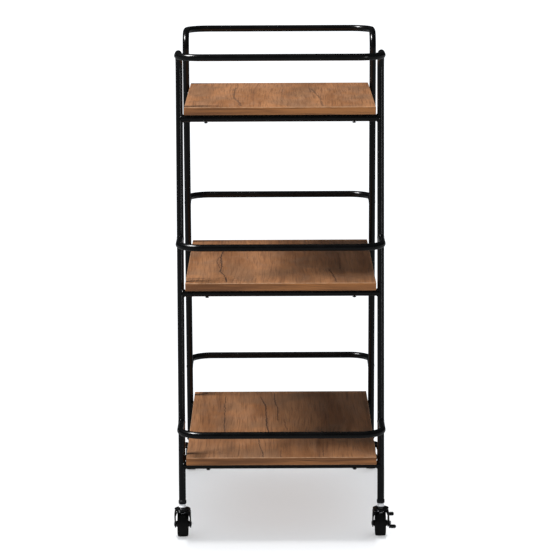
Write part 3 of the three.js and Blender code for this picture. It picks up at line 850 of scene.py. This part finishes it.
def sheet_to_shell(rows, outward, thickness):
    """A grid of points given thickness both ways, closed round its border."""
    height, width = len(rows), len(rows[0])
    rings = []
    for r, row in enumerate(rows):
        outer, inner = [], []
        for c, point in enumerate(row):
            down = rows[min(r + 1, height - 1)][c] - rows[max(r - 1, 0)][c]
            normal = down.cross(row[min(c + 1, width - 1)] - row[max(c - 1, 0)])
            guide = outward(point)
            if normal.length < 1e-12:
                normal = guide
            normal.normalize()
            half = normal * math.copysign(thickness / 2, normal.dot(guide))
            outer.append(point + half)
            inner.append(point - half)
        rings.append(outer + inner[::-1])
    return rings_to_shell(rings)


def fork_shells():
    def outward(point):
        if point.z > (FORK_TOP_Z - FORK_BEND_RADIUS) * MM:
            return Vector((point.x * 0.5, 0, 0.010))
        return Vector((math.copysign(1, point.x), 0, 0))

    sheet = sheet_to_shell(fork_sheet(), outward, FORK_SHEET * MM)
    # The seat under the cap, the cap and the race, with heights above the sheet's top.
    seat = [(4.6, -3.0, 0), (12.8, -3.0, 0.5), (14.1, -0.6, 0.8), (14.1, 1.2, 0.5), (4.6, 1.2, 0)]
    cap = [(9.0, 1.0, 0), (14.4, 1.0, 0.2), (15.4, 1.3, 0.3), (15.4, 2.2, 0.6), (13.4, 3.1, 0.9)]
    cap += [(9.6, 4.0, 0.5), (9.0, 3.6, 0.2)]
    race = [(4.6, 1.3, 0), (8.8, 1.3, 0), (8.8, 4.3, 0.5), (7.8, 5.2, 0.7), (5.2, 5.2, 0.4), (4.6, 4.6, 0.2)]
    shells = [(sheet, 0)]
    for profile, sides in ((seat, 72), (cap, 72), (race, 56)):
        raised = [(radius, FORK_TOP_Z + height, soft) for radius, height, soft in profile]
        shells.append((closed_lathe(raised, sides), 0))
    rivet = [(0, -2, 0), (1.3, -2, 0), (1.3, 0.35, 0.3), (0.8, 0.8, 0.3), (0, 0.9, 0)]
    # Two bright rivets on the front lip, under the cap.
    for x, drop in ((-5.2, 1.6), (4.4, 3.4)):
        spot = Matrix.Translation((x * MM, (FORK_FRONT_Y + 0.1) * MM, (FORK_TOP_Z - drop) * MM))
        stud = moved(lathe(rounded(rivet), 20), spot @ Matrix.Rotation(math.pi / 2, 4, "X"))
        shells.append((stud, 1))
    return shells


def tyre_shells():
    half, outer = 10.2, AXLE_MM.z
    corners = [(19.8, -half, 0.3), (22.0, -half, 0.8), (22.3, -half + 0.3, 0.2)]
    corners += [(outer - 0.5, -half + 0.7, 1.5), (outer, -3.0, 1.0)]
    corners += [(radius, -height, soft) for radius, height, soft in reversed(corners)]
    return [(moved(closed_lathe(corners, 96), ABOUT_AXLE), 0)]


def hub_shells():
    """A moulded wheel centre: boss, dished web, rim and eight ribs on each face."""
    corners = [
        (3.4, -13.25, 0.3), (5.6, -13.25, 0.6), (6.5, -9.5, 0.8), (6.8, -5.0, 1.2), (16.0, -4.5, 1.2),
        (16.6, -8.5, 0.5), (19.5, -8.5, 0.4),
    ]
    corners += [(radius, -height, soft) for radius, height, soft in reversed(corners)]
    shells = [(moved(closed_lathe(corners, 72), ABOUT_AXLE), 0)]
    for face in (-1, 1):
        for i in range(8):
            outline = [(6.0, 0.9), (16.8, 0.6), (16.8, -0.6), (6.0, -0.9)]
            rings = []
            for height, shrink in ((3.8, 1.0), (7.6, 0.75)):
                rings.append([Vector((r, w * shrink, face * height)) * MM for r, w in outline])
            spin = Matrix.Rotation(2 * math.pi * (i + 0.5) / 8, 4, "Z")
            shells.append((moved(rings_to_shell(rings), ABOUT_AXLE @ spin), 0))
    return shells


def hex_shell(across_flats, z0, z1):
    """A nut, chamfered at its outer end."""
    radius = across_flats / math.sqrt(3) * MM
    rings = []
    for z, shrink in ((z0, 1.0), (z0 + (z1 - z0) * 0.72, 1.0), (z1, 0.86)):
        rings.append(circle(Vector((0, 0, z * MM)), X_AXIS, Y_AXIS, radius * shrink, 6))
    return rings_to_shell(rings)


def axle_shells(braked):
    """A flat riveted head on one side; a riveted end or, past a brake lever, a nut on the other."""
    start = -FORK_OUTSIDE - SLIT
    end = FORK_OUTSIDE + (LEVER_SPACE if braked else SLIT)
    rivet = [(0, 1.4, 0), (1.6, 1.4, 0.3), (2.0, 1.1, 0.2), (3.4, 1.0, 0.3)]
    rivet += [(4.3, 0.5, 0.3), (4.3, 0, 0), (0, 0, 0)]
    pin = [(0, start - 0.2, 0), (3.0, start - 0.2, 0), (3.0, end + 0.3, 0), (0, end + 0.4, 0)]
    head = [(r, start - h, soft) for r, h, soft in rivet]
    shells = [(lathe(rounded(pin), 24), 0), (lathe(rounded(head), 40), 0)]
    if braked:
        washer = [(0, end, 0), (4.3, end, 0.15), (4.3, end + 0.5, 0.15), (0, end + 0.5, 0)]
        ring = [(0, end + 1.8, 0), (2.7, end + 1.8, 0), (2.7, end + 2.5, 0.4), (0, end + 2.6, 0)]
        shells.append((lathe(rounded(washer), 40), 0))
        shells.append((hex_shell(7.2, end + 0.5, end + 2.3), 0))
        shells.append((lathe(rounded(ring), 32), 1))
    else:
        peened = [(r, end + h, soft) for r, h, soft in reversed(rivet)]
        shells.append((lathe(rounded(peened), 40), 0))
    return placed(shells, ABOUT_AXLE)


PEDALS = ((13, 14.5, 26.5), (-15, -2.8, 29.6))      # the CAD lever's pedals: Y and Z of the axle, reach


def lever_outline():
    """The rocker plate: a round hub with a tapered limb out to each pedal."""
    hub, tip = 6.5, 3.9
    points = []
    ends = [math.atan2(z, y) for y, z, _ in PEDALS]
    for (y, z, _), angle in zip(PEDALS, ends):
        span = math.hypot(y, z) - 0.5
        for i in range(9):
            a = angle - math.pi / 2 + math.pi * i / 8
            points.append((math.cos(angle) * span + tip * math.cos(a),
                           math.sin(angle) * span + tip * math.sin(a)))
        other = ends[1] if angle == ends[0] else ends[0] + 2 * math.pi
        for i in range(1, 6):
            a = angle + (other - angle) * (0.28 + 0.44 * (i - 1) / 4)
            points.append((hub * math.cos(a), hub * math.sin(a)))
    return points


def brake_shells():
    inside = FORK_OUTSIDE + 0.35
    plate = [[Vector((x, y, z)) * MM for y, z in lever_outline()] for x in (inside, inside + 1.8)]
    shells = [(rings_to_shell(plate), 0)]
    for y, z, reach in PEDALS:
        length = reach - inside
        shells.append((rounded_block((length, 8.6, 6.4), (inside + length / 2, y, z), 3.2), 0))
        lift = math.copysign(1, z) * 3.1
        for i in range(4):
            x = inside + length * (0.34 + 0.15 * i)
            shells.append((rounded_block((0.9, 6.4, 1.2), (x, y, z + lift), 2.6, 16, 6), 0))
    return placed(shells, TO_AXLE)


# ---------- assembly ----------

def build_frame():
    for end in ENDS:
        turn = Matrix.Rotation(0 if end == "front" else math.pi, 4, "Z")
        plan = {f"{end}_end_hoop": [(hoop_shell(), 0)]}
        plan.update({f"{end}_{TIERS[tier]}_rail": rail_shells(tier) for tier in range(2)})
        plan.update({f"{TIERS[tier]}_{end}_cross_tube": cross_tube_shells(tier) for tier in range(3)})
        for node, shells in plan.items():
            make_piece(node, "cart_frame", placed(shells, turn), [TUBE_COAT, WELD_COAT])
    for tier, tier_name in enumerate(TIERS):
        for side in SIDES:
            node = f"{tier_name}_{side}_stretcher"
            shells = stretcher_shells(tier, centre(node).x)
            make_piece(node, "cart_frame", shells, [TUBE_COAT, WELD_COAT])
        node = f"{tier_name}_shelf_board"
        shells = [(board_shell(tier_name), 0)]
        make_piece(node, "cart_frame", shells, [walnut(tier_name)])
        for corner in CORNERS:
            node = f"{tier_name}_{corner}_screw"
            spot = centre(node)
            shells = placed(screw_shells(tier), Matrix.Translation((spot.x, spot.y, 0)))
            make_piece(node, "cart_frame", shells, [SCREW_OXIDE])


def build_caster(corner):
    braked = f"{corner}_brake_lever" in frame["nodes"]
    caster, wheel, brake = f"{corner}_caster", f"{corner}_wheel", f"{corner}_brake"
    plan = [
        ("foot_sleeve", "cart_frame", "black_plastic", sleeve_shells(corner), [HUB_PLASTIC], 0),
        ("caster_stem", "cart_frame", "bright_steel", stem_shells(corner), [ZINC_PAINTED_REFLECTION], 0),
        ("caster_fork", caster, "black_fork", fork_shells(), [FORK_COAT, DARK_ZINC], 0.25 * MM),
        ("axle_bolt", caster, "dark_steel", axle_shells(braked), [DARK_ZINC, NYLON], 0.15 * MM),
        ("wheel_hub", wheel, "black_plastic", hub_shells(), [HUB_PLASTIC], 0.2 * MM),
        ("wheel_tyre", wheel, "black_tread", tyre_shells(), [TREAD], 0),
    ]
    if braked:
        plan.append(("brake_lever", brake, "brake_plastic", brake_shells(), [BRAKE_PLASTIC], 0.3 * MM))
    stem_x, stem_y, _ = JOINTS[f"{corner}_swivel"]["pos_m"]
    place = Matrix.Translation((stem_x, stem_y, 0))
    for part, body, slot, shells, finishes, bevel in plan:
        make_piece(f"{corner}_{part}", body, placed(shells, place), finishes, bevel)


build_frame()
for corner_name in CORNERS:
    build_caster(corner_name)


# ---------- studio ----------

AIM = Vector((0, 0, 0.5))
FLOOR_OUTLINE = ((-40, -40), (40, -40), (40, 40), (-40, 40))
FILL_STRENGTH = 0.45         # of the world on matt surfaces
REFLECTED_STRENGTH = 0.018   # of the world in reflections
FILL_TINT = (0.93, 1.0, 1.08, 1)
# The key light is off to the left and a little to the front: it throws each shelf's shadow
# onto the right half of the shelf below.
KEY_TOWARD = (-0.64, -0.14, 1.0)
# These pieces shade the floor under the cart from the overhead lights.
SHADING_PIECES = (*(f"{tier}_shelf_board" for tier in TIERS), *(f"{corner}_wheel" for corner in CORNERS))
FLAG_Z = 0.03
FLAG_OUTLINE = ((-0.186, -0.236), (0.186, -0.236), (0.206, 0.300), (-0.206, 0.300))
OVERHEADS = 7
OVERHEAD_STRENGTH = 1.22     # of all the overhead lights together
OVERHEAD_TILT = -4.0         # degrees: the middle one's
OVERHEAD_TILT_STEP = 2.5
FLOOR_BASE_STRENGTH = 1.48   # the floor's brightness in full shade


def flat_sheet(name, outline, z):
    mesh = bpy.data.meshes.new(name)
    mesh.from_pydata([Vector((x, y, z)) for x, y in outline], [], [[0, 1, 2, 3]])
    return in_scene(name, mesh)


def studio_floor():
    f = Finish("studio_floor", Roughness=0.8, Specular_IOR_Level=0.0)
    grain = f.noise(f.place.outputs["Object"], 3.0, 2)
    paper = f.mix(f.span(grain, 0.3, 0.7), (0.90, 0.90, 0.90), (0.91, 0.91, 0.91))
    mirrored = f.node("LightPath").outputs["Is Glossy Ray"]
    f.feed("Base Color", f.mix(f.times(mirrored, 0.85), paper, (0.02, 0.02, 0.02)))
    floor = flat_sheet("studio_floor", FLOOR_OUTLINE, 0)
    floor.data.materials.append(f.material)
    floor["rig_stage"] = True
    return floor


def group_of(name, members):
    group = bpy.data.collections.new(name)
    for member in members:
        group.objects.link(member)
    return group


def lamp_for(members, name, kind, power):
    """A light that reaches only these objects."""
    light = bpy.data.lights.new(name, kind)
    light.energy = power
    lamp = in_scene(name, light)
    lamp.light_linking.receiver_collection = group_of(f"{name}_receivers", members)
    return lamp


def softbox(members, name, power, toward, distance, size, size_y):
    """An area light at a distance along a direction, aimed at the middle of the cart."""
    lamp = lamp_for(members, name, "AREA", power)
    lamp.data.shape = "RECTANGLE"
    lamp.data.size = size
    lamp.data.size_y = size_y
    direction = Vector(toward).normalized()
    turn = direction.to_track_quat("Z", "Y").to_matrix().to_4x4()
    lamp.matrix_world = Matrix.Translation(AIM + direction * distance) @ turn
    return lamp


def sunlight(floor, name, strength, spread):
    """Even light from above, for the floor only."""
    lamp = lamp_for([floor], name, "SUN", strength)
    lamp.data.angle = spread
    return lamp


def white_world():
    """White to the camera, a soft fill for matt surfaces, and dim in reflections."""
    world = bpy.data.worlds.new("studio")
    bpy.context.scene.world = world
    world.use_nodes = True
    tree = world.node_tree
    path = add_node(tree, "LightPath").outputs
    seen = path["Is Camera Ray"]
    fill = add_node(tree, "Mix", {0: path["Is Glossy Ray"], 2: FILL_STRENGTH, 3: REFLECTED_STRENGTH})
    shown = add_node(tree, "Mix", {0: seen, 2: fill.outputs[0], 3: 1.0})
    tint = add_node(tree, "Mix", {0: seen, 6: FILL_TINT, 7: (1, 1, 1, 1)}, data_type="RGBA")
    background = tree.nodes["Background"].inputs
    tree.links.new(shown.outputs[0], background["Strength"])
    tree.links.new(tint.outputs[2], background["Color"])


def flag_card():
    """A card low under the cart, which only shades the floor from the overhead lights."""
    card = flat_sheet("flag_card", FLAG_OUTLINE, FLAG_Z)
    for ray in ("camera", "diffuse", "glossy", "transmission", "volume_scatter"):
        setattr(card, f"visible_{ray}", False)
    card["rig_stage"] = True
    return card


def lights(floor):
    cart = [o for o in bpy.context.scene.objects if o.type == "MESH" and not o.get("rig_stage")]
    softbox(cart, "key", 314, KEY_TOWARD, 4.5, 1.4, 1.4)
    # This fills the boards' front edges, and shows in no reflection.
    front = softbox(cart, "front_fill", 55, (0.25, -1.0, 0.35), 4.0, 1.8, 1.8)
    front.visible_glossy = False
    # A tall strip draws the faint grey line down each front post.
    hoop = [o for o in cart if o.name.startswith("front_end_hoop")]
    softbox(hoop, "post_strip", 20, (0.55, -0.85, 0.05), 4.0, 0.30, 3.2)
    shading = [o for o in cart if o.name.startswith(SHADING_PIECES)]
    flags = group_of("overhead_flags", [*shading, flag_card()])
    for i in range(OVERHEADS):
        overhead = sunlight(floor, f"overhead_{i}", OVERHEAD_STRENGTH / OVERHEADS, math.radians(2.6))
        tilt = OVERHEAD_TILT + OVERHEAD_TILT_STEP * (i - (OVERHEADS - 1) / 2)
        overhead.rotation_euler = (math.radians(tilt), 0, 0)
        overhead.light_linking.blocker_collection = flags
    sunlight(floor, "floor_base", FLOOR_BASE_STRENGTH, 0.1).data.use_shadow = False


EYE = (-0.01137, -5.2529, 1.4064)
PITCH = 0.179
ROLL = -0.004
YAW = 0.002
LENS = 172.67


def camera():
    """The eye is 5.25 m in front of the cart and looks down at it by 10 degrees."""
    lens = bpy.data.cameras.new("camera")
    lens.sensor_width = 36
    lens.lens = LENS
    lens.clip_end = 200
    eye = in_scene("camera", lens)
    turn = Matrix.Rotation(math.pi / 2 - PITCH, 4, "X") @ Matrix.Rotation(ROLL, 4, "Z")
    eye.matrix_world = Matrix.Translation(EYE) @ Matrix.Rotation(-YAW, 4, "Z") @ turn
    bpy.context.scene.camera = eye


camera()
ground = studio_floor()
white_world()
lights(ground)
bpy.context.scene.view_settings.view_transform = "Standard"
